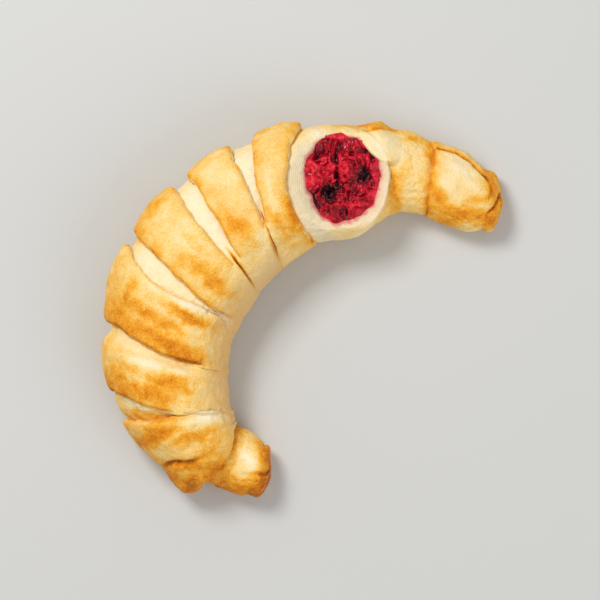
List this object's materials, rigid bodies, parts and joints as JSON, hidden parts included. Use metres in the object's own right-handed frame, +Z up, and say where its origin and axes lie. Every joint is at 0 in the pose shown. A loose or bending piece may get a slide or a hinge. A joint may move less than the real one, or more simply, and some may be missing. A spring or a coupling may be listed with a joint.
{
  "type": "filled croissant",
  "caption": "Crescent roll of overlapping wrapped dough bands, opened by a slanting slice near one end to show a moist fruit filling; lies on its flat underside.",
  "frame": {"origin": "centre of the bounding box in plan, on the plane of the flat underside", "axes": "+Z up, away from the underside; +X along the longer side of the crescent, towards the narrow tip beside the opening; +Y towards the outside of the crescent's back"},
  "size_m": [0.1614, 0.1512, 0.0402],
  "materials": {
    "crust": "baked golden crust with browned band edges, paler recesses and a cream cut rim, softly satin",
    "cherry": "wet glossy cooked cherries, bright red to nearly black"
  },
  "bodies": {
    "root": {"pastry": "crust", "cherry_filling": "cherry"}
  },
  "joints": []
}
